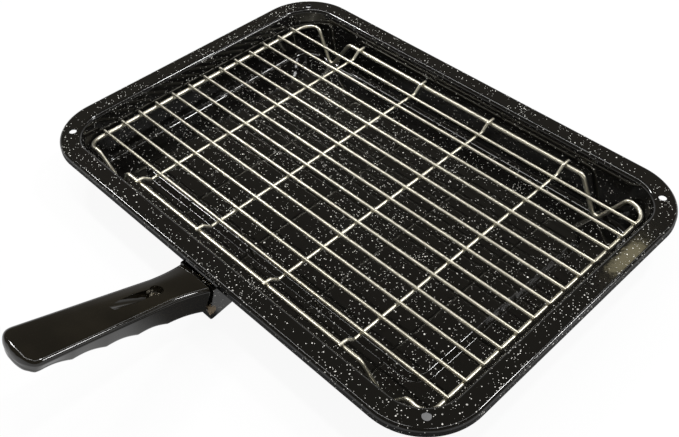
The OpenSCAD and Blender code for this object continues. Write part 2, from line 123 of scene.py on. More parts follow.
class RackSizes(bpy.types.PropertyGroup):
    """Sizes of the wire rack."""

    frame_wire: millimetres("Frame wire", "Diameter of the frame's wire", 3.4)
    grid_wire: millimetres("Grid wire", "Diameter of the straight and cross wires", 2.4)
    side_gap: millimetres("Side gap", "Gap between side rails and wall", 6)
    end_gap: millimetres("End gap", "Gap between end rails and wall", 3.1)
    corner_gap: millimetres("Corner gap", "Gap between bent corners and wall", 0.5)
    grid_height: millimetres("Grid height", "Height of the straight wires", 28.6)
    side_rise: millimetres("Side rise", "Height of side rails over end rails", 3.2)
    pitch: millimetres("Pitch", "Distance between straight wires", 16.5)
    cross_pitch: millimetres("Cross pitch", "Distance between cross wires", 69.9)
    long_tip: millimetres("Wire tip", "Length past the end rail", 0.1)
    cross_tip: millimetres("Cross wire tip", "Length past the side rail", 1.4)
    jog_run: millimetres("Jog run", "Length of a cross wire's jog", 6.5)
    jog_flat: millimetres("Jog flat", "Flat end inside the side rail", 3.6)
    shoulder_run: millimetres("Shoulder", "Length between corner and leg", 4.7)
    foot_out: millimetres("Outer limb", "Run of a leg's outer limb", 19)
    foot_in: millimetres("Inner limb", "Run of a leg's inner limb", 19)
    foot_gap: millimetres("Foot gap", "Gap from foot to the floor's bend", 0.4)
    rail_bend: millimetres("Rail bend", "Bend radius from rail to leg", 6)
    foot_bend: millimetres("Foot bend", "Bend radius of the foot", 4.5)
    shoulder_bend: millimetres("Shoulder bend", "Bend radius over the leg", 4.5)
    jog_bend: millimetres("Jog bend", "Bend radius of a jog", 2.6)
    weld_gap: millimetres("Weld gap", "Gap between wires that are welded", 0.05)
    foot_room: millimetres("Foot room", "Extra height of a foot over the weld gap", 0.05)
    weld_width: millimetres("Weld width", "Width of a weld's bead", 2.3)
    tip_round: millimetres("Tip rounding", "Rounding of a cut wire's end", 0.4)
    sides: IntProperty(
        name="Wire facets", description="Facets round a wire", default=20, min=8, max=48
    )


class HandleSizes(bpy.types.PropertyGroup):
    """Sizes of the moulded grip."""

    length: millimetres("Length", "Length of the grip along its top", 129)
    out: millimetres("Stand-off", "Distance from the lip to the grip's start", 2.6)
    rise: millimetres("Rise", "Height of the grip's start above the lip's edge", 1.75)
    tilt: angle("Tilt", "Angle by which the handle rises", 17.4)
    waist: millimetres("Waist", "Width at the waist", 26.8)
    butt: millimetres("Butt width", "Width near the free end", 36)
    root: millimetres("Root width", "Width at the tray end", 33)
    root_deep: millimetres("Root depth", "Depth up to the first ridge", 22.4)
    butt_deep: millimetres("Butt depth", "Depth at the free end", 11.5)
    butt_round: millimetres("Butt rounding", "Length of the rounded free end", 11)
    ridge_start: millimetres("First ridge", "Distance to the first finger ridge", 28)
    ridge_pitch: millimetres("Ridge pitch", "Distance between finger ridges", 23.5)
    scoop: millimetres("Scoop depth", "Depth of the finger scoops", 1.8)
    first_scoop: millimetres("First scoop", "Depth of the scoop at the root", 0.7)
    last_scoop: millimetres("Last scoop", "Depth of the scoop at the butt", 0.8)
    edge: millimetres("Edge radius", "Radius of the long edges", 3.6)
    root_edge: millimetres("Root edge", "Rounding at the tray end", 1.2)
    butt_edge: millimetres("Butt edge", "Rounding at the free end", 3.4)
    draft: millimetres("Draft", "Lean of the sides towards the underside", 1.6)
    crown: millimetres("Crown", "Rise of the top across its width", 0.7)
    squareness: FloatProperty(
        name="Squareness", description="Power of the free end's curve", default=2.4, min=1.5
    )
    tongue_thick: millimetres("Tongue thickness", "Thickness of the tongue", 1.8)
    tongue_wide: millimetres("Tongue width", "Width of the tongue", 18)
    tongue_deep: millimetres("Tongue depth", "Depth of the tongue in the grip", 9.6)
    tongue_in: millimetres("Tongue length", "Length of the tongue in the grip", 44)
    slot_gap: millimetres("Slot gap", "Gap round the tongue", 0.2)
    bracket_wide: millimetres("Bracket width", "Width over the bracket's cheeks", 35)
    fold_edge: millimetres("Bracket edge", "Rounding of the bracket's enamelled edges", 0.28)
    chip: millimetres("Chip", "Reach of the chip in the bracket's enamel", 6.5)
    chip_rise: millimetres("Chip height", "Height of the chip over the bracket's lower edge", 8)
    strip_edge: millimetres("Tongue edge", "Rounding of the tongue's edges", 0.2)
    head_edge: millimetres("Screw edge", "Rounding of the screw's edges", 0.16)
    cut_edge: millimetres("Cut edge", "Rounding where the grip is cut", 0.35)
    screw_at: millimetres("Screw", "Distance of the screw from the root", 31)
    screw_head: millimetres("Screw recess", "Diameter of the recess", 8.8)
    screw_bore: millimetres("Screw bore", "Diameter of the bore", 5.4)
    recess: millimetres("Recess depth", "Depth of the recess", 7.2)
    bore_deep: millimetres("Bore depth", "Depth of the bore's end", 17.7)
    channel: millimetres("Channel", "Diameter of the driver's channel", 8)
    channel_deep: millimetres("Channel depth", "Depth of the channel", 4)
    channel_tilt: angle("Channel angle", "Angle of the channel to the top", 14)


class Finishes(bpy.types.PropertyGroup):
    """Colours of the finishes."""

    enamel: colour("Enamel", "Ground coat of the tray", (0.0045, 0.0042, 0.0037))
    speckle: colour("Speckle", "Flecks in the enamel", (0.9, 0.88, 0.82))
    bare: colour("Bare steel", "Where the enamel has come off", (0.36, 0.27, 0.17))
    wire: colour("Wire", "Bright plating of the wires", (0.74, 0.71, 0.595))
    weld: colour("Weld", "Beads where wires cross", (0.62, 0.56, 0.44))
    grip: colour("Grip", "Dark thermoset moulding", (0.0045, 0.0036, 0.0022))
    zinc: colour("Zinc", "Plating of tongue and screw", (0.62, 0.57, 0.46))
    floor: colour("Floor", "Studio floor", (0.92, 0.92, 0.92))
    ceiling: colour("Ceiling", "Dim ceiling that the enamel mirrors", (0.17, 0.155, 0.125))


# Meshes


def rounded(bm, geom, offset, segments, affect):
    """Bevels vertices or edges to a round."""
    bmesh.ops.bevel(
        bm,
        geom=geom,
        offset=offset,
        offset_type="OFFSET",
        segments=segments,
        profile=0.5,
        affect=affect,
        material=-1,
    )


def cylinder(bm, radius, length, matrix, segments=48):
    """Adds a closed cylinder along Z."""
    bmesh.ops.create_cone(
        bm,
        cap_ends=True,
        segments=segments,
        radius1=radius,
        radius2=radius,
        depth=length,
        matrix=matrix,
    )


def line_of(bm, points, radii, segments):
    """Draws a bent line through points and rounds its inner points with the radii."""
    verts = [bm.verts.new(p) for p in points]
    for pair in zip(verts, verts[1:]):
        bm.edges.new(pair)
    for i, radius in enumerate(radii, 1):
        before, here, after = (Vector(p) for p in points[i - 1 : i + 2])
        turn = (here - before).angle(after - here)
        rounded(bm, [verts[i]], radius * math.tan(turn / 2), segments, "VERTICES")
    return bm


def quarter_ring(points, radii, corner, segments, steps):
    """Spins a bent line round a corner and runs its ends to the middle planes."""
    bm = line_of(bmesh.new(), points, radii, segments)
    start = bm.edges[:]
    spun = bmesh.ops.spin(
        bm,
        geom=bm.verts[:] + start,
        cent=corner,
        axis=(0, 0, 1),
        angle=math.pi / 2,
        steps=steps,
        use_merge=False,
        use_duplicate=False,
    )
    last = [e for e in spun["geom_last"] if isinstance(e, bmesh.types.BMEdge)]
    for edges, flat in ((start, (1, 0, 1)), (last, (0, 1, 1))):
        run = bmesh.ops.extrude_edge_only(bm, edges=edges)
        verts = [v for v in run["geom"] if isinstance(v, bmesh.types.BMVert)]
        bmesh.ops.scale(bm, vec=flat, verts=verts)
    return bm


def mirrored(bm, *axes):
    """Completes a mesh by mirroring it in the middle planes."""
    for axis in axes:
        bmesh.ops.mirror(
            bm, geom=bm.verts[:] + bm.edges[:] + bm.faces[:], merge_dist=SAME_POINT, axis=axis
        )
    bmesh.ops.remove_doubles(bm, verts=bm.verts[:], dist=SAME_POINT)
    return bm


def joined(bm, other):
    """Adds another bmesh to bm."""
    mesh = bpy.data.meshes.new("part")
    other.to_mesh(mesh)
    other.free()
    bm.from_mesh(mesh)
    bpy.data.meshes.remove(mesh)
    return bm


def open_edges(bm, height):
    """Edges with one face, at this height."""
    return [
        e
        for e in bm.edges
        if len(e.link_faces) < 2 and all(abs(v.co.z - height) < SAME_POINT for v in e.verts)
    ]


def sweep(points, radii, diameter, sides, steps):
    """Bends a round wire: a circle is extruded along each straight and spun round each bend.

    Gives the mesh and the edges of its last ring.
    """
    points = [Vector(p) for p in points]
    ahead = (points[1] - points[0]).normalized()
    bm = bmesh.new()
    bmesh.ops.create_circle(
        bm,
        segments=sides,
        radius=diameter / 2,
        matrix=Matrix.Translation(points[0]) @ ahead.to_track_quat("Z", "Y").to_matrix().to_4x4(),
    )
    ring = bm.edges[:]
    here = points[0]
    for i in range(1, len(points)):
        ahead = (points[i] - points[i - 1]).normalized()
        bends = i < len(points) - 1
        goal = points[i]
        if bends:
            out = (points[i + 1] - points[i]).normalized()
            turn = ahead.angle(out)
            goal = points[i] - ahead * radii[i - 1] * math.tan(turn / 2)
        run = bmesh.ops.extrude_edge_only(bm, edges=ring)["geom"]
        bmesh.ops.translate(
            bm, vec=goal - here, verts=[v for v in run if isinstance(v, bmesh.types.BMVert)]
        )
        ring = [e for e in run if isinstance(e, bmesh.types.BMEdge)]
        here = goal
        if bends:
            inward = (out - ahead * ahead.dot(out)).normalized()
            cent = goal + inward * radii[i - 1]
            spun = bmesh.ops.spin(
                bm,
                geom=ring,
                cent=cent,
                axis=ahead.cross(inward),
                angle=turn,
                steps=steps,
                use_merge=False,
                use_duplicate=False,
            )["geom_last"]
            ring = [e for e in spun if isinstance(e, bmesh.types.BMEdge)]
            here = cent + Matrix.Rotation(turn, 3, ahead.cross(inward)) @ (goal - cent)
    return bm, ring


def round_tip(bm, ring, rounding):
    """Closes a wire's end and rounds its rim."""
    face = bmesh.ops.edgeloop_fill(bm, edges=ring)["faces"][0]
    rounded(bm, list(face.edges), rounding, 3, "EDGES")


def new_piece(name, bm, material, slot, *replaced, sharp=40):
    """Makes a finished piece from a bmesh: it rides on the body and takes a finish."""
    bmesh.ops.recalc_face_normals(bm, faces=bm.faces[:])
    mesh = bpy.data.meshes.new(name)
    bm.to_mesh(mesh)
    bm.free()
    if not mesh.polygons:
        raise RuntimeError(f"{name} has no faces")
    mesh.polygons.foreach_set("use_smooth", [True] * len(mesh.polygons))
    mesh.set_sharp_from_angle(angle=math.radians(sharp))
    mesh.materials.append(material)
    piece = bpy.data.objects.new(name, mesh)
    bpy.context.scene.collection.objects.link(piece)
    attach(piece, "root")
    if replaced:
        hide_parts(*replaced)
    return piece


def settled(piece):
    """Turns a piece's modifiers into its mesh."""
    graph = bpy.context.evaluated_depsgraph_get()
    mesh = bpy.data.meshes.new_from_object(
        piece.evaluated_get(graph), preserve_all_data_layers=True, depsgraph=graph
    )
    old = piece.data
    piece.modifiers.clear()
    piece.data = mesh
    bpy.data.meshes.remove(old)
    mesh.name = piece.name


def cut_by(piece, bm):
    """Cuts a bmesh's closed shapes out of a piece."""
    bmesh.ops.recalc_face_normals(bm, faces=bm.faces[:])
    mesh = bpy.data.meshes.new("cutter")
    bm.to_mesh(mesh)
    bm.free()
    cutter = bpy.data.objects.new("cutter", mesh)
    bpy.context.scene.collection.objects.link(cutter)
    cut = piece.modifiers.new("cut", "BOOLEAN")
    cut.operation = "DIFFERENCE"
    cut.solver = "EXACT"
    cut.use_self = True
    cut.object = cutter
    settled(piece)
    bpy.data.objects.remove(cutter)
    bpy.data.meshes.remove(mesh)


def eased(piece, width, limit):
    """Rounds the edges that are sharper than the limit, and lets large flat faces look flat."""
    bevel = piece.modifiers.new("edges", "BEVEL")
    bevel.width = width
    bevel.segments = 3
    bevel.limit_method = "ANGLE"
    bevel.angle_limit = math.radians(limit)
    bevel.miter_outer = "MITER_ARC"
    bevel.use_clamp_overlap = True
    flats = piece.modifiers.new("flats", "WEIGHTED_NORMAL")
    flats.keep_sharp = False
    flats.weight = 60
    settled(piece)


def softened(node, name, material, slot, width):
    """A merged copy of a CAD node with its edges rounded to the width."""
    bm = bmesh.new()
    bm.from_mesh(NODES[node].data)
    bmesh.ops.remove_doubles(bm, verts=bm.verts[:], dist=2 * SAME_POINT)
    bmesh.ops.dissolve_limit(
        bm, angle_limit=math.radians(1), verts=bm.verts[:], edges=bm.edges[:]
    )
    piece = new_piece(name, bm, material, slot, node)
    eased(piece, width, limit=40)


# Sizes that follow from other sizes


def wall_in(tray, z):
    """Distance from the tray's outline to the inner face of its wall at height z."""
    half = tray.sheet / 2
    drop = tray.height - tray.sheet
    mid = tray.rim + half + tray.wall_run * (tray.height - half - z) / drop
    return mid + half / math.cos(math.atan(tray.wall_run / drop))


class RackPlan:
    """Places of the rack's wires, worked out from the sizes of tray and rack."""

    def __init__(self, tray, rack):
        thick, thin = rack.frame_wire, rack.grid_wire
        self.grid_z = rack.grid_height
        self.cross_z = self.grid_z - thin - rack.weld_gap
        self.end_z = self.grid_z - (thick + thin) / 2 - rack.weld_gap
        self.side_z = self.end_z + rack.side_rise
        self.cross_end_z = self.side_z + (thick + thin) / 2 + rack.weld_gap
        self.x = tray.length / 2 - wall_in(tray, self.end_z) - rack.end_gap - thick / 2
        self.y = tray.depth / 2 - wall_in(tray, self.side_z) - rack.side_gap - thick / 2
        # The bent corner keeps its own gap from the tray's rounded corner
        along = rack.end_gap
        across = rack.side_gap + wall_in(tray, self.side_z) - wall_in(tray, self.end_z)
        spare = along + across - rack.corner_gap
        room = spare**2 - along**2 - across**2 + rack.corner_gap**2
        inset = spare + math.sqrt(room)
        self.corner = tray.corner - wall_in(tray, self.end_z) - thick / 2 - inset
        self.shoulder = Vector((self.x - self.corner - rack.shoulder_run, self.y, self.grid_z))
        slope = math.atan(tray.wall_run / (tray.height - tray.sheet))
        reach = tray.floor_bend * math.tan((math.pi / 2 - slope) / 2)
        foot_x = self.shoulder.x - rack.foot_out
        foot_y = tray.depth / 2 - tray.rim - tray.sheet / 2 - tray.wall_run
        foot_z = tray.sheet + rack.weld_gap + thick / 2 + rack.foot_room
        self.foot_low = Vector((foot_x, foot_y - reach - rack.foot_gap, foot_z))
        self.rail_end = Vector((foot_x - rack.foot_in, self.y, self.side_z))
        # The foot's corner point moves until the lowest point of its bend is in place
        rounds = 5
        self.foot = self.foot_low.copy()
        for _ in range(rounds):
            self.foot += self.foot_low - self.lowest(self.foot, rack.foot_bend)

    def lowest(self, vertex, radius):
        """Lowest point of a foot's bend."""
        ahead = (vertex - self.rail_end).normalized()
        out = (self.shoulder - vertex).normalized()
        inward = (out - ahead * ahead.dot(out)).normalized()
        centre = vertex - ahead * radius * math.tan(ahead.angle(out) / 2) + inward * radius
        axle = ahead.cross(inward)
        return centre - radius * (Vector((0, 0, 1)) - axle * axle.z).normalized()


def spread(count, pitch):
    """Places of a row of wires, centred on the middle plane."""
    return [(i - (count - 1) / 2) * pitch for i in range(count)]


def handle_matrix(tray, grip):
    """Places what is drawn along the grip's top: X across, Y outwards, Z up from it."""
    start = (0, -tray.depth / 2 - grip.out, tray.height - tray.lip + grip.rise)
    return (
        Matrix.Translation(start)
        @ Matrix.Rotation(math.pi, 4, "Z")
        @ Matrix.Rotation(grip.tilt, 4, "X")
    )


# Finishes


def add(tree, kind, inputs=None, **settings):
    """Adds a shader node. Inputs are values or other nodes' outputs."""
    node = tree.nodes.new(kind)
    for key, value in settings.items():
        setattr(node, key, value)
    for key, value in (inputs or {}).items():
        if isinstance(value, bpy.types.NodeSocket):
            tree.links.new(value, node.inputs[key])
        else:
            node.inputs[key].default_value = value
    return node


def maths(tree, operation, *values):
    """A Math node's result."""
    return add(tree, "ShaderNodeMath", dict(enumerate(values)), operation=operation).outputs[0]


def ramp(tree, value, low, high, to_low=0.0, to_high=1.0):
    """A smooth step of value between low and high."""
    inputs = {0: value, 1: low, 2: high, 3: to_low, 4: to_high}
    step = add(tree, "ShaderNodeMapRange", inputs, interpolation_type="SMOOTHSTEP")
    return step.outputs[0]


def noise(tree, place, scale, detail):
    """A Noise Texture node."""
    return add(tree, "ShaderNodeTexNoise", {"Vector": place, "Scale": scale, "Detail": detail})


def vector_maths(tree, operation, *values):
    """A Vector Math node."""
    return add(tree, "ShaderNodeVectorMath", dict(enumerate(values)), operation=operation)


def ray_kinds(tree):
    """The Light Path node, and whether a ray is mirrored or shines through."""
    path = tree.nodes.new("ShaderNodeLightPath")
    glossy, through = path.outputs["Is Glossy Ray"], path.outputs["Is Transmission Ray"]
    return path, maths(tree, "MAXIMUM", glossy, through)


def mixed(tree, factor, a, b):
    """A mix of two colours."""
    return add(tree, "ShaderNodeMix", {0: factor, 6: a, 7: b}, data_type="RGBA").outputs[2]


def rgba(value):
    """A colour with full alpha."""
    return (value[0], value[1], value[2], 1)


def new_group(name, inputs, outputs):
    """A shader node group with named sockets: (kind, name, default) in and (kind, name) out."""
    group = bpy.data.node_groups.new(name, "ShaderNodeTree")
    for kind, title, default in inputs:
        kind = f"NodeSocket{kind}"
        socket = group.interface.new_socket(title, in_out="INPUT", socket_type=kind)
        socket.default_value = default
    for kind, title in outputs:
        group.interface.new_socket(title, in_out="OUTPUT", socket_type=f"NodeSocket{kind}")
    return group, group.nodes.new("NodeGroupInput"), group.nodes.new("NodeGroupOutput")


def fleck_layer(tree, place, cell, size, share):
    """One layer of flecks: a mask of round dots of uneven size, for a share of the cells."""
    cells = add(
        tree,
        "ShaderNodeTexVoronoi",
        {"Vector": place, "Scale": 1 / cell, "Randomness": 1.0},
        feature="F1",
    )
    chance = add(tree, "ShaderNodeSeparateColor", {0: cells.outputs["Color"]})
    shown = maths(tree, "LESS_THAN", chance.outputs[0], share)
    smallest, soft = 0.35 * size / cell, 0.12 * size / cell
    reach = ramp(tree, chance.outputs[1], 0.0, 1.0, smallest, size / cell)
    edge = maths(tree, "SUBTRACT", reach, cells.outputs["Distance"])
    dot = ramp(tree, edge, 0.0, soft)
    bright = ramp(tree, chance.outputs[2], 0.0, 0.85, 0.3, 1.0)
    return maths(tree, "MULTIPLY", maths(tree, "MULTIPLY", dot, shown), bright)


def flecks_group(name):
    """Flecks of pale enamel: they gather in loose drifts, and a few are much larger."""
    group, given, result = new_group(
        name,
        [("Vector", "Place", (0, 0, 0)), ("Float", "Amount", 1.0)],
        [("Float", "Flecks"), ("Float", "Height")],
    )
    place = given.outputs["Place"]
    warp = noise(group, place, 900.0, 1.0).outputs["Color"]
    shift = (0.4 * MM, 0.4 * MM, 0.4 * MM)
    bent = vector_maths(group, "SUBTRACT", warp, (0.5, 0.5, 0.5)).outputs[0]
    bent = vector_maths(group, "MULTIPLY_ADD", bent, shift, place).outputs[0]
    drift = noise(group, place, 42.0, 3.0)
    thick = ramp(group, drift.outputs["Fac"], 0.36, 0.66, 0.25, 1.0)
    thick = maths(group, "MULTIPLY", thick, given.outputs["Amount"])
    # Each row: size of the cells, reach of a fleck, share of the cells that have one
    layers = ((1.3, 0.34, 0.5), (2.4, 0.5, 0.7), (4.8, 0.7, 0.55))
    fine, mid, large = (
        fleck_layer(group, bent, cell * MM, reach * MM, maths(group, "MULTIPLY", thick, share))
        for cell, reach, share in layers
    )
    most = maths(group, "MAXIMUM", fine, maths(group, "MAXIMUM", mid, large))
    group.links.new(most, result.inputs["Flecks"])
    ripple = noise(group, place, 160.0, 2.0)
    height = maths(group, "MULTIPLY_ADD", most, 0.05, ripple.outputs["Fac"])
    group.links.new(height, result.inputs["Height"])
    return group


def wear_group(name):
    """Fine hairlines and smudges: a mask that lies along one direction."""
    group, given, result = new_group(
        name,
        [
            ("Vector", "Place", (0, 0, 0)),
            ("Vector", "Stretch", (1, 1, 1)),
            ("Float", "Scale", 400.0),
            ("Float", "Smudge scale", 40.0),
        ],
        [("Float", "Lines"), ("Float", "Smudge")],
    )
    place = given.outputs["Place"]
    pulled = vector_maths(group, "MULTIPLY", place, given.outputs["Stretch"]).outputs[0]
    lines = noise(group, pulled, given.outputs["Scale"], 3.0)
    smudge = noise(group, place, given.outputs["Smudge scale"], 4.0)
    group.links.new(ramp(group, lines.outputs["Fac"], 0.3, 0.7), result.inputs["Lines"])
    group.links.new(ramp(group, smudge.outputs["Fac"], 0.35, 0.7), result.inputs["Smudge"])
    return group


def shared(tree, name, maker, inputs):
    """Places a node group that is built once."""
    group = bpy.data.node_groups.get(name) or maker(name)
    return add(tree, "ShaderNodeGroup", inputs, node_tree=group)


def new_material(name):
    """A material with a Principled shader, and where its surface is."""
    material = bpy.data.materials.new(name)
    material.use_nodes = True
    tree = material.node_tree
    tree.nodes.clear()
    shader = tree.nodes.new("ShaderNodeBsdfPrincipled")
    output = tree.nodes.new("ShaderNodeOutputMaterial")
    tree.links.new(shader.outputs[0], output.inputs[0])
    place = tree.nodes.new("ShaderNodeTexCoord").outputs["Object"]
    return material, tree, shader, place


def bump(tree, shader, height, distance, strength):
    """Feeds a height to the shader's normal."""
    inputs = {"Height": height, "Distance": distance, "Strength": strength}
    node = add(tree, "ShaderNodeBump", inputs)
    tree.links.new(node.outputs[0], shader.inputs["Normal"])


def enamel_material(name, finish, chip=None, chip_size=0.0):
    """Glossy black vitreous enamel with pale flecks, and a chipped place where one is given."""
    material, tree, shader, place = new_material(name)
    flecks = shared(tree, "enamel_flecks", flecks_group, {"Place": place, "Amount": 1.0})
    wear = shared(
        tree,
        "hairlines",
        wear_group,
        {"Place": place, "Stretch": (1, 1, 1), "Scale": 70.0, "Smudge scale": 24.0},
    )
    ground = mixed(tree, flecks.outputs["Flecks"], rgba(finish.enamel), rgba(finish.speckle))
    rough = maths(tree, "MULTIPLY_ADD", wear.outputs["Smudge"], 0.04, 0.05)
    if chip is not None:
        apart = vector_maths(tree, "DISTANCE", place, chip).outputs["Value"]
        rag = noise(tree, place, 700.0, 3.0)
        apart = maths(tree, "MULTIPLY_ADD", rag.outputs["Fac"], chip_size, apart)
        gone = ramp(tree, apart, chip_size, 1.12 * chip_size, 1.0, 0.0)
        rust = rgba([c * 0.45 for c in finish.bare])
        grain = mixed(tree, rag.outputs["Fac"], rgba(finish.bare), rust)
        ground = mixed(tree, gone, ground, grain)
        rough = maths(tree, "MULTIPLY_ADD", gone, 0.45, rough)
    tree.links.new(ground, shader.inputs["Base Color"])
    tree.links.new(rough, shader.inputs["Roughness"])
    shader.inputs["IOR"].default_value = 1.5
    shader.inputs["Specular IOR Level"].default_value = 0.42
    bump(tree, shader, flecks.outputs["Height"], 0.06 * MM, strength=0.35)
    return material


def metal_material(name, tint, stretch, rough, grain=0.05, dull=0.06):
    """Bright plated steel with draw lines along one direction."""
    material, tree, shader, place = new_material(name)
    wear = shared(
        tree,
        "hairlines",
        wear_group,
        {"Place": place, "Stretch": stretch, "Scale": 900.0, "Smudge scale": 60.0},
    )
    darker = rgba([c * 0.78 for c in tint])
    tone = mixed(tree, wear.outputs["Smudge"], rgba(tint), darker)
    tree.links.new(tone, shader.inputs["Base Color"])
    shader.inputs["Metallic"].default_value = 1.0
    sheen = maths(tree, "MULTIPLY_ADD", wear.outputs["Smudge"], dull, rough)
    sheen = maths(tree, "MULTIPLY_ADD", wear.outputs["Lines"], dull / 2, sheen)
    tree.links.new(sheen, shader.inputs["Roughness"])
    bump(tree, shader, wear.outputs["Lines"], 0.01 * MM, strength=grain)
    return material


def moulded_material(name, finish):
    """Glossy dark thermoset with faint mould marks and hairlines."""
    material, tree, shader, place = new_material(name)
    wear = shared(
        tree,
        "hairlines",
        wear_group,
        {"Place": place, "Stretch": (4, 0.6, 2), "Scale": 260.0, "Smudge scale": 34.0},
    )
    paler = rgba([c * 1.9 for c in finish.grip])
    tone = mixed(tree, wear.outputs["Smudge"], rgba(finish.grip), paler)
    tree.links.new(tone, shader.inputs["Base Color"])
    rough = maths(tree, "MULTIPLY_ADD", wear.outputs["Smudge"], 0.05, 0.06)
    rough = maths(tree, "MULTIPLY_ADD", wear.outputs["Lines"], 0.03, rough)
    tree.links.new(rough, shader.inputs["Roughness"])
    shader.inputs["IOR"].default_value = 1.5
    shader.inputs["Specular IOR Level"].default_value = 0.5
    bump(tree, shader, wear.outputs["Smudge"], 0.05 * MM, strength=0.12)
    return material


# Operators


class PAN_OT_tray(bpy.types.Operator):
    """Build the pressed and enamelled tray"""

    bl_idname = "pan.tray"
    bl_label = "Tray"

    def execute(self, context):
        s = context.scene.pan_tray
        finish = context.scene.pan_finish
        half = s.sheet / 2
        cx, cy = s.length / 2 - s.corner, s.depth / 2 - s.corner
        rim_in = s.rim + half
        floor_in = rim_in + s.wall_run
        # How far the bent lines run on past their last bends
        run_on = 3 * MM
        side = quarter_ring(
            [
                (cx + s.corner - half, cy, s.height - s.lip),
                (cx + s.corner - half, cy, s.height - half),
                (cx + s.corner - rim_in, cy, s.height - half),
                (cx + s.corner - floor_in, cy, half),
                (cx + s.corner - floor_in - s.floor_bend - run_on, cy, half),
            ],
            [s.lip_bend, s.rim_bend, s.floor_bend],
            (cx, cy, 0),
            segments=10,
            steps=28,
        )
        inset = floor_in + s.gutter + s.panel_corner
        px, py = s.length / 2 - inset, s.depth / 2 - inset
        rise = half + s.panel_rise
        step = quarter_ring(
            [
                (px + s.panel_corner + run_on, py, half),
                (px + s.panel_corner, py, half),
                (px + s.panel_corner - s.panel_run, py, rise),
                (px + s.panel_corner - s.panel_run - run_on, py, rise),
            ],
            [s.panel_bend, s.panel_bend],
            (px, py, 0),
            segments=6,
            steps=28,
        )
        bm = mirrored(joined(side, step), "X", "Y")
        bmesh.ops.bridge_loops(bm, edges=open_edges(bm, half))
        bmesh.ops.edgeloop_fill(bm, edges=open_edges(bm, rise))
        material = enamel_material("black_enamel", finish)
        body = new_piece("tray_shell", bm, material, "enamel", "tray")
        wall = body.modifiers.new("sheet", "SOLIDIFY")
        wall.thickness = s.sheet
        wall.offset = 0
        wall.use_even_offset = True
        settled(body)
        holes = bmesh.new()
        reach = (s.corner - s.hole_in) * math.sqrt(0.5)
        for sx in (-1, 1):
            for sy in (-1, 1):
                middle = (sx * (cx + reach), sy * (cy + reach), s.height)
                cylinder(holes, s.hole / 2, 8 * s.sheet, Matrix.Translation(middle), segments=40)
        cut_by(body, holes)
        eased(body, s.edge, limit=50)
        return {"FINISHED"}


class PAN_OT_bracket(bpy.types.Operator):
    """Build the folded bracket that carries the handle, with its enamel chipped at one corner"""

    bl_idname = "pan.bracket"
    bl_label = "Handle bracket"

    def execute(self, context):
        finish = context.scene.pan_finish
        low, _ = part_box("handle_bracket")
        handle = context.scene.pan_handle
        rise = handle.chip_rise
        chip = (handle.bracket_wide / 2, low.y + rise * math.tan(handle.tilt), low.z + rise)
        material = enamel_material("bracket_enamel", finish, chip, handle.chip)
        softened("handle_bracket", "bracket_shell", material, "enamel", handle.fold_edge)
        return {"FINISHED"}


class PAN_OT_rack(bpy.types.Operator):
    """Build the rack's frame, straight wires and cross wires, with the welds that hold them"""

    bl_idname = "pan.rack"
    bl_label = "Wire rack"

    def execute(self, context):
        s = context.scene.pan_rack
        finish = context.scene.pan_finish
        plan = RackPlan(context.scene.pan_tray, s)
        thick = metal_material("frame_plating", finish.wire, (1, 1, 1), rough=0.32)
        along = metal_material("long_plating", finish.wire, (0.06, 1, 1), rough=0.34)
        across = metal_material("cross_plating", finish.wire, (1, 0.06, 1), rough=0.32)

        quarter = [
            (plan.x, 0, plan.end_z),
            (plan.x, plan.y, plan.end_z),
            plan.shoulder,
            plan.foot,
            plan.rail_end,
            (0, plan.y, plan.side_z),
        ]
        radii = [plan.corner, s.shoulder_bend, s.foot_bend, s.rail_bend]
        bm, _ = sweep(quarter, radii, s.frame_wire, s.sides + 8, steps=14)
        new_piece("frame_wire", mirrored(bm, "X", "Y"), thick, "frame_wire", "rack_frame")

        tip = plan.x + s.frame_wire / 2 + s.long_tip
        for y, node in zip(spread(len(LONG_WIRES), s.pitch), LONG_WIRES):
            ends = [(0, y, plan.grid_z), (tip, y, plan.grid_z)]
            bm, ring = sweep(ends, [], s.grid_wire, s.sides, steps=1)
            round_tip(bm, ring, s.tip_round)
            new_piece(f"grid_{node}", mirrored(bm, "X"), along, "grid_wire", node)

        tip = plan.y + s.frame_wire / 2 + s.cross_tip
        flat = plan.y - s.jog_flat
        for x, node in zip(spread(len(CROSS_WIRES), s.cross_pitch), CROSS_WIRES):
            half = [
                (x, 0, plan.cross_z),
                (x, flat - s.jog_run, plan.cross_z),
                (x, flat, plan.cross_end_z),
                (x, tip, plan.cross_end_z),
            ]
            bm, ring = sweep(half, [s.jog_bend, s.jog_bend], s.grid_wire, s.sides, steps=8)
            round_tip(bm, ring, s.tip_round)
            new_piece(f"grid_{node}", mirrored(bm, "Y"), across, "grid_wire", node)
        self.welds(s, finish, plan)
        return {"FINISHED"}

    def welds(self, s, finish, plan):
        """A flattened bead at each crossing, where the wires have sunk into each other."""
        rows = spread(len(LONG_WIRES), s.pitch)
        columns = spread(len(CROSS_WIRES), s.cross_pitch)
        under_grid = plan.grid_z - s.grid_wire / 2
        under_ends = plan.cross_end_z - s.grid_wire / 2
        spots = [(x, y, under_grid) for x in columns for y in rows]
        spots += [(x, y, under_grid) for x in (-plan.x, plan.x) for y in rows]
        spots += [(x, y, under_ends) for x in columns for y in (-plan.y, plan.y)]
        unevenness, flattening = 0.12, 0.42
        bm = bmesh.new()
        for n, spot in enumerate(spots):
            uneven = 1 + unevenness * math.sin(7.3 * n)
            bmesh.ops.create_icosphere(
                bm,
                subdivisions=2,
                radius=s.weld_width / 2 * uneven,
                matrix=Matrix.Translation(spot) @ Matrix.Diagonal((1, 1, flattening, 1)),
            )
        material = metal_material(
            "weld_beads", finish.weld, (1, 1, 1), rough=0.22, grain=1.0, dull=0.2
        )
        new_piece("weld_beads", bm, material, "grid_wire", sharp=60)


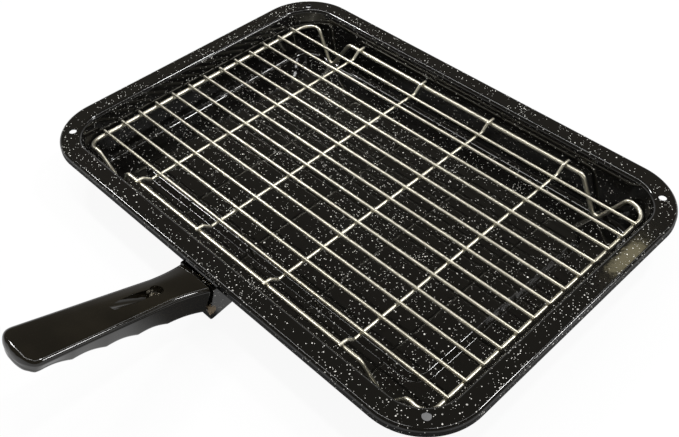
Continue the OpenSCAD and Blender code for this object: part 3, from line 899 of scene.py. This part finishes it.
class PAN_OT_grip(bpy.types.Operator):
    """Build the moulded grip with its finger ridges, screw recess and driver's channel"""

    bl_idname = "pan.grip"
    bl_label = "Grip"

    def half_width(self, s, at):
        """Half the width at a distance from the root."""
        butt_s = s.length - s.butt_round / 2
        if at < s.ridge_start:
            plain = s.waist / 2 + (s.root - s.waist) / 2 * (1 - at / s.ridge_start) ** 2
        else:
            share = (at - s.ridge_start) / (butt_s - s.ridge_start)
            plain = s.waist / 2 + (s.butt - s.waist) / 2 * share
        past = (at - s.length + s.butt_round) / s.butt_round
        if past <= 0:
            return plain
        return min(plain, s.butt / 2) * max(0.0, 1 - past**s.squareness) ** (1 / s.squareness)

    def depth(self, s, at):
        """Depth of the underside at a distance from the root, with the finger scoops."""
        taper = (s.root_deep - s.butt_deep) / (s.length - s.butt_round / 2 - s.ridge_start)
        plain = s.root_deep - taper * max(0, at - s.ridge_start)
        if at < s.ridge_start:
            scoop = s.first_scoop * math.sin(math.pi * at / s.ridge_start)
        else:
            scoop = s.scoop * abs(math.sin(math.pi * (at - s.ridge_start) / s.ridge_pitch))
        return max(s.butt_deep - s.last_scoop, plain - scoop)

    def drop(self, at, radius):
        """How far a rounded end is drawn in."""
        return 0.0 if at >= radius else radius - math.sqrt(radius**2 - (radius - at) ** 2)

    def outline(self, s, at):
        """The grip's outline across its length, as (x, z) points in order."""
        inset = self.drop(at, s.root_edge) + self.drop(s.length - at, s.butt_edge)
        least = 0.6 * MM
        half = max(least, self.half_width(s, at) - self.drop(at, s.root_edge))
        upper, lower = -inset, inset - self.depth(s, at)
        # The long edges' radius, kept smaller than what is left of the grip near its ends
        r = min(s.edge, 0.75 * half, 0.42 * (upper - lower))
        steps = 8
        low = max(r, half - s.draft)
        top = upper - s.crown - r
        points = [((half - r) * k / 4, upper - s.crown * (k / 4) ** 2) for k in range(3, -4, -1)]
        for x, z, start in (
            (-half + r, top, 90),
            (-low + r, lower + r, 180),
            (low - r, lower + r, 270),
            (half - r, top, 0),
        ):
            for k in range(steps + 1):
                a = math.radians(start + 90 * k / steps)
                points.append((x + r * math.cos(a), z + r * math.sin(a)))
        return points

    def execute(self, context):
        s = context.scene.pan_handle
        finish = context.scene.pan_finish
        round_start = s.length - s.butt_round
        # Steps over the rounded root, the root's flare, each ridge and the rounded free end
        root, flare, ridge, butt = 6, 16, 20, 28
        quarter = math.pi / 2
        waist = s.ridge_start - s.root_edge
        stations = [s.root_edge * (1 - math.cos(quarter * k / root)) for k in range(root + 1)]
        stations += [s.root_edge + waist * k / flare for k in range(1, flare)]
        count = int((round_start - s.ridge_start) / s.ridge_pitch * ridge)
        stations += [s.ridge_start + s.ridge_pitch * k / ridge for k in range(count + 1)]
        stations += [
            round_start + s.butt_round * math.sin(quarter * k / butt) for k in range(1, butt + 1)
        ]
        bm = bmesh.new()
        ring = [bm.verts.new((x, 0, z)) for x, z in self.outline(s, 0)]
        edges = [bm.edges.new(pair) for pair in zip(ring, ring[1:] + ring[:1])]
        bmesh.ops.edgeloop_fill(bm, edges=edges)
        for at in stations[1:]:
            run = bmesh.ops.extrude_edge_only(bm, edges=edges)["geom"]
            edges = [e for e in run if isinstance(e, bmesh.types.BMEdge)]
            verts = [v for v in run if isinstance(v, bmesh.types.BMVert)]
            for vert, (x, z) in zip(verts, self.outline(s, at)):
                vert.co = (x, at, z)
        bmesh.ops.edgeloop_fill(bm, edges=edges)
        material = moulded_material("dark_moulding", finish)
        piece = new_piece("grip_moulding", bm, material, "moulded_grip", "handle_grip")
        cut_by(piece, self.hollows(s))
        eased(piece, s.cut_edge, limit=42)
        piece.data.transform(handle_matrix(context.scene.pan_tray, s))
        return {"FINISHED"}

    def hollows(self, s):
        """What is cut out of the grip: the tongue's slot, the screw's recess and bore, the channel."""
        bm = bmesh.new()
        wide = s.tongue_wide + 2 * s.slot_gap
        high = s.tongue_thick + 2 * s.slot_gap
        length = s.tongue_in + s.slot_gap + MM
        mid = -(s.tongue_deep + s.tongue_thick / 2)
        bmesh.ops.create_cube(
            bm,
            size=1,
            matrix=Matrix.Translation((0, length / 2 - MM, mid))
            @ Matrix.Diagonal((wide, length, high, 1)),
        )
        for radius, top, bottom in (
            (s.screw_head / 2, MM, -s.recess),
            (s.screw_bore / 2, -s.recess + MM, -s.bore_deep),
        ):
            middle = (0, s.screw_at, (top + bottom) / 2)
            cylinder(bm, radius, top - bottom, Matrix.Translation(middle))
        radius = s.channel / 2
        start = (0, s.screw_at, radius - radius / math.cos(s.channel_tilt) - s.channel_deep)
        length = (s.channel_deep + s.channel) / math.sin(s.channel_tilt)
        matrix = (
            Matrix.Translation(start)
            @ Matrix.Rotation(s.channel_tilt - math.pi / 2, 4, "X")
            @ Matrix.Translation((0, 0, length / 2))
        )
        cylinder(bm, radius, length, matrix)
        return bm


class PAN_OT_fixing(bpy.types.Operator):
    """Build the plated tongue and the screw that hold the grip"""

    bl_idname = "pan.fixing"
    bl_label = "Tongue and screw"

    def execute(self, context):
        s = context.scene.pan_handle
        zinc = context.scene.pan_finish.zinc
        strip = metal_material("zinc_strip", zinc, (1, 0.08, 1), rough=0.26, grain=0.8, dull=0.2)
        screw = metal_material("zinc_screw", zinc, (1, 1, 1), rough=0.2, grain=0.4, dull=0.15)
        softened("handle_tongue", "tongue_strip", strip, "plated_steel", s.strip_edge)
        softened("handle_screw", "screw_body", screw, "screw_steel", s.head_edge)
        return {"FINISHED"}


class PAN_OT_stage(bpy.types.Operator):
    """Set up the pale floor, the soft lamps and the camera"""

    bl_idname = "pan.stage"
    bl_label = "Studio"

    def execute(self, context):
        scene = context.scene
        scene.view_settings.view_transform = "Standard"
        self.floor(scene)
        self.world(scene)
        # Each row: place over the floor, width along X, depth along Y, power
        lamps = {
            "left_key": (-1.08, 0.01, 0.34, 0.09, 11.0),
            "left_strip": (-0.45, 0.0, 0.9, 0.1, 4.6),
            "right_key": (0.3, 0.58, 0.12, 0.17, 6.0),
            "right_strip": (0.3, 0.18, 0.1, 0.6, 1.4),
            "back_strip": (0.3, 0.98, 0.1, 0.6, 1.2),
            "rim_glow": (-0.2, 1.1, 0.05, 0.13, 0.07),
            "far_box": (1.4, 1.2, 0.25, 0.35, 16.0),
        }
        for name, values in lamps.items():
            self.lamp(name, *values)
        warm = (1, 0.89, 0.55)
        bpy.data.lights["rim_glow"].color = warm
        self.camera(scene)
        return {"FINISHED"}

    def floor(self, scene):
        """A wide floor: it takes the shadow, and fades to white away from the pan; mirrored rays see a
        painted shade round the tray.
        """
        # The floor lies just under the pan, so that the two surfaces don't fall together
        clear = 0.05 * MM
        bm = bmesh.new()
        bmesh.ops.create_circle(bm, cap_ends=True, segments=96, radius=14)
        bmesh.ops.translate(bm, vec=(0, 0, -clear), verts=bm.verts[:])
        mesh = bpy.data.meshes.new("studio_floor")
        bm.to_mesh(mesh)
        bm.free()
        floor = bpy.data.objects.new("studio_floor", mesh)
        scene.collection.objects.link(floor)
        material, tree, shader, place = new_material("floor_paper")
        grain = noise(tree, place, 300.0, 2.0)
        base = rgba(scene.pan_finish.floor)
        tone = mixed(tree, grain.outputs["Fac"], base, rgba([c * 0.985 for c in base[:3]]))
        tree.links.new(tone, shader.inputs["Base Color"])
        shader.inputs["Roughness"].default_value = 0.9
        shader.inputs["Specular IOR Level"].default_value = 0.1
        away = vector_maths(tree, "LENGTH", place).outputs["Value"]
        fade = ramp(tree, away, 0.2, 0.6, 0.93, 1.0)
        path, shiny = ray_kinds(tree)
        seen = maths(tree, "MULTIPLY", fade, path.outputs["Is Camera Ray"])
        seen = maths(tree, "MAXIMUM", seen, shiny)
        # Painted shade: mirrored rays see the floor's glow dimmed round the tray's outline
        dark = maths(tree, "MULTIPLY", self.painted_contact_shade(tree, place, scene.pan_tray), shiny)
        glow = add(tree, "ShaderNodeEmission", {"Strength": maths(tree, "SUBTRACT", 1.0, dark)})
        blend = add(tree, "ShaderNodeMixShader", {0: seen, 1: shader.outputs[0], 2: glow.outputs[0]})
        output = next(n for n in tree.nodes if n.type == "OUTPUT_MATERIAL")
        tree.links.new(blend.outputs[0], output.inputs[0])
        mesh.materials.append(material)

    def painted_contact_shade(self, tree, place, tray):
        """Painted shade on the floor round the tray's outline: a dark band that only mirrored rays
        see, so that the tray's lip mirrors it dark.
        """
        split = add(tree, "ShaderNodeSeparateXYZ", {0: place})
        over = [
            maths(tree, "SUBTRACT", maths(tree, "ABSOLUTE", split.outputs[i]), size / 2)
            for i, size in enumerate((tray.length, tray.depth))
        ]
        over = maths(tree, "MAXIMUM", over[0], over[1])
        outer = ramp(tree, over, 22 * MM, 60 * MM, 0.85, 0.0)
        inner = ramp(tree, over, -6 * MM, 0.0, 0.0, 1.0)
        return maths(tree, "MULTIPLY", outer, inner)

    def world(self, scene):
        """White behind the pan, plain fill light, and a dim ceiling for the enamel to mirror."""
        world = bpy.data.worlds.new("studio")
        scene.world = world
        world.use_nodes = True
        tree = world.node_tree
        tree.nodes.clear()
        way = tree.nodes.new("ShaderNodeTexCoord").outputs["Generated"]
        height = add(tree, "ShaderNodeSeparateXYZ", {0: way}).outputs["Z"]
        ceiling = ramp(tree, height, 0.15, 0.4)
        path, shiny = ray_kinds(tree)
        level = maths(tree, "MAXIMUM", path.outputs["Is Camera Ray"], shiny)
        fill = 0.35
        level = maths(tree, "MULTIPLY_ADD", path.outputs["Is Diffuse Ray"], fill, level)
        dim = rgba(scene.pan_finish.ceiling)
        tone = mixed(tree, maths(tree, "MULTIPLY", ceiling, shiny), (1, 1, 1, 1), dim)
        back = add(tree, "ShaderNodeBackground", {"Color": tone, "Strength": level})
        output = tree.nodes.new("ShaderNodeOutputWorld")
        tree.links.new(back.outputs[0], output.inputs[0])

    def lamp(self, name, x, y, width, depth, watts):
        """A rectangular soft lamp over the floor, which points straight down."""
        light = bpy.data.lights.new(name, "AREA")
        light.shape = "RECTANGLE"
        light.size = width
        light.size_y = depth
        light.energy = watts
        lamp = bpy.data.objects.new(name, light)
        bpy.context.scene.collection.objects.link(lamp)
        lamp_height = 1.15
        lamp.matrix_world = Matrix.Translation((x, y, lamp_height))
        lamp.visible_camera = False

    def camera(self, scene):
        """The photograph's viewpoint, worked out from where the wires cross in it."""
        azimuth, elevation, roll = (math.radians(a) for a in (46.294, 44.882, -1.389))
        back = Vector(
            (
                math.sin(azimuth) * math.cos(elevation),
                -math.cos(azimuth) * math.cos(elevation),
                math.sin(elevation),
            )
        )
        level = (-back).cross(Vector((0, 0, 1))).normalized()
        upright = level.cross(-back)
        right = math.cos(roll) * level + math.sin(roll) * upright
        up = math.cos(roll) * upright - math.sin(roll) * level
        place = Vector((342.2, -342.5, 465.5)) * MM
        photo_width_px, focal_px = 679, 888.9
        data = bpy.data.cameras.new("photo_camera")
        data.sensor_width = 36
        data.sensor_fit = "HORIZONTAL"
        data.lens = data.sensor_width * focal_px / photo_width_px
        data.clip_start, data.clip_end = 0.01, 60
        camera = bpy.data.objects.new("photo_camera", data)
        scene.collection.objects.link(camera)
        turn = Matrix((right, up, back)).transposed().to_4x4()
        camera.matrix_world = Matrix.Translation(place) @ turn
        scene.camera = camera


class PAN_PT_panel(bpy.types.Panel):
    """Sizes, colours and building steps of the broiler pan"""

    bl_idname = "PAN_PT_panel"
    bl_label = "Broiler pan"
    bl_space_type = "VIEW_3D"
    bl_region_type = "UI"
    bl_category = "Broiler pan"

    def draw(self, context):
        layout = self.layout
        for step in STEPS:
            layout.operator(step.bl_idname)
        for group in GROUPS:
            box = layout.box()
            box.label(text=group)
            sizes = getattr(context.scene, group)
            for name in sizes.bl_rna.properties.keys():
                if name not in ("rna_type", "name"):
                    box.prop(sizes, name)


GROUPS = {
    "pan_tray": TraySizes,
    "pan_rack": RackSizes,
    "pan_handle": HandleSizes,
    "pan_finish": Finishes,
}
STEPS = (PAN_OT_tray, PAN_OT_bracket, PAN_OT_rack, PAN_OT_grip, PAN_OT_fixing, PAN_OT_stage)


def register():
    for cls in (*GROUPS.values(), *STEPS, PAN_PT_panel):
        bpy.utils.register_class(cls)
    for name, cls in GROUPS.items():
        setattr(bpy.types.Scene, name, PointerProperty(type=cls))


def unregister():
    for name in GROUPS:
        delattr(bpy.types.Scene, name)
    for cls in reversed((*GROUPS.values(), *STEPS, PAN_PT_panel)):
        bpy.utils.unregister_class(cls)


def main():
    register()
    bpy.ops.pan.tray()
    bpy.ops.pan.bracket()
    bpy.ops.pan.rack()
    bpy.ops.pan.grip()
    bpy.ops.pan.fixing()
    bpy.ops.pan.stage()


if __name__ == "__main__":
    main()
